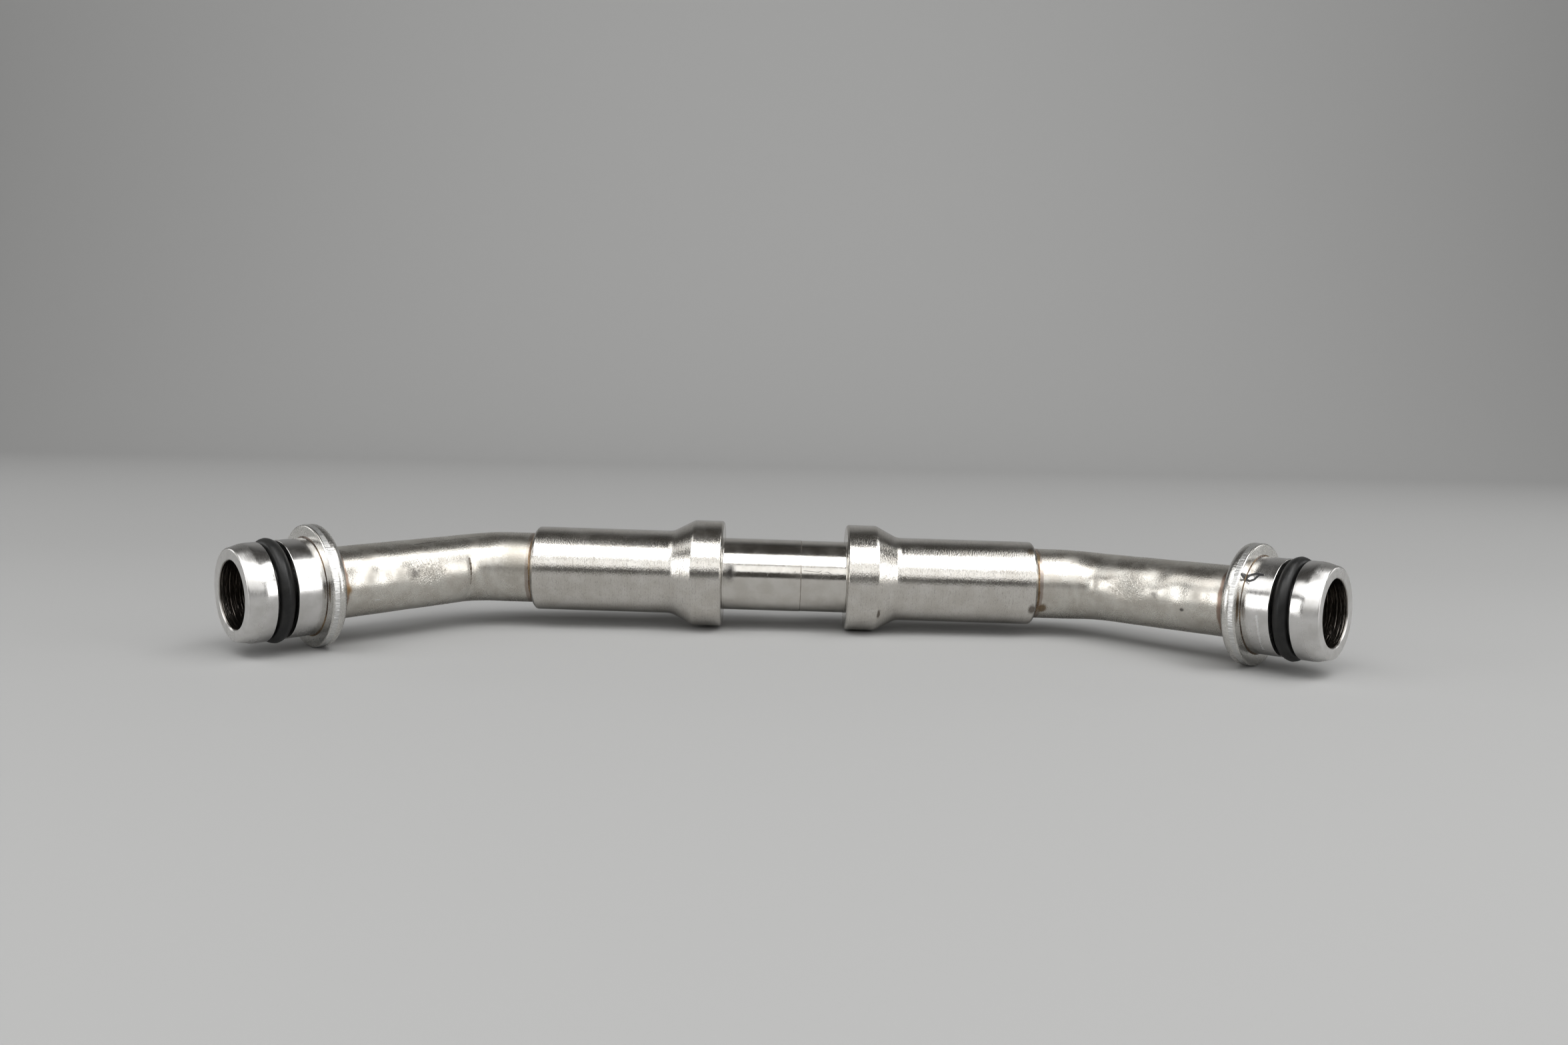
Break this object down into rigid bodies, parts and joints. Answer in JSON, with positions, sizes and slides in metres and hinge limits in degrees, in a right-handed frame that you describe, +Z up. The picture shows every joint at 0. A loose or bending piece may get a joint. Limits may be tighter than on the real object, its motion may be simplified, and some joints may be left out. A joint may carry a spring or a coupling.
{
  "type": "breather pipe",
  "caption": "Crankcase breather pipe: a straight turned steel centre with collars, and a bent tube at each end carrying a flanged plug-in spigot with a rubber sealing ring.",
  "frame": {"origin": "centre of the bounding box in plan, at the height of the surface that the part lies on", "axes": "+X along the straight centre, towards the dented tube; the tubes bend towards -Y; +Z up"},
  "size_m": [0.1812, 0.0454, 0.02],
  "materials": {
    "turned_steel": "fine turned grain with a sharp sheen along the barrel",
    "drawn_steel": "satin drawn tube with dull mottling, heat tint at the brazed ends and small bruises",
    "polished_steel": "smooth, nearly polished",
    "stamped_steel": "smooth front and back, sheared rim with fine cross striations",
    "filler_metal": "thin dull golden braze",
    "seal_rubber": "satin black"
  },
  "bodies": {
    "root": {"centre_body": "turned_steel", "left_tube": "drawn_steel", "right_tube": "drawn_steel", "left_sleeve_braze": "filler_metal", "right_sleeve_braze": "filler_metal", "left_spigot": "polished_steel", "right_spigot": "polished_steel", "left_flange_ring": "stamped_steel", "right_flange_ring": "stamped_steel", "left_seal_ring": "seal_rubber", "right_seal_ring": "seal_rubber", "left_flange_braze": "filler_metal", "right_flange_braze": "filler_metal", "left_tail_braze": "filler_metal", "right_tail_braze": "filler_metal"}
  },
  "joints": []
}
